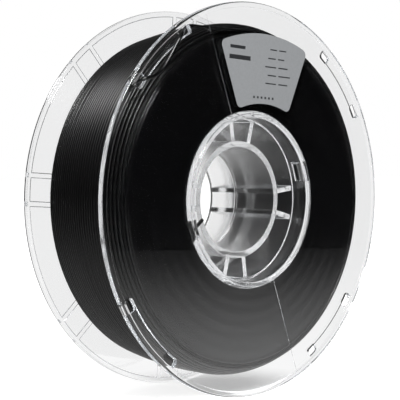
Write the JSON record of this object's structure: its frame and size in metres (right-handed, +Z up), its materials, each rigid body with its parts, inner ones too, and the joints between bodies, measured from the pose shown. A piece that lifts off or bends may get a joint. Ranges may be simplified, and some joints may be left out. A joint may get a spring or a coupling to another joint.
{
  "type": "filament spool",
  "caption": "Clear two-flange spool full of black filament, with a wide spindle bore, a webbed hub, clip pockets in the front flange and ribs on the rear one.",
  "frame": {"origin": "on the bore's axis, half-way across the width over the flanges", "axes": "+Y along the spool's axis, away from the labelled front flange and towards the ribbed rear flange; +Z up, with the label at the top; +X to the right as seen from the front"},
  "size_m": [0.2, 0.0609, 0.2],
  "materials": {
    "clear_plastic": "clear, polished",
    "filament": "soft satin",
    "label_paper": "smooth coated paper"
  },
  "bodies": {
    "root": {"front_rim": "clear_plastic", "front_flange": "clear_plastic", "front_collar": "clear_plastic", "front_drum": "clear_plastic", "front_bore_tube": "clear_plastic", "front_webs": "clear_plastic", "rear_rim": "clear_plastic", "rear_flange": "clear_plastic", "rear_ribs": "clear_plastic", "rear_collar": "clear_plastic", "rear_drum": "clear_plastic", "rear_bore_tube": "clear_plastic", "rear_webs": "clear_plastic", "winding_core": "filament", "winding_layer": "filament", "filament_start": "filament", "label": "label_paper"}
  },
  "joints": []
}
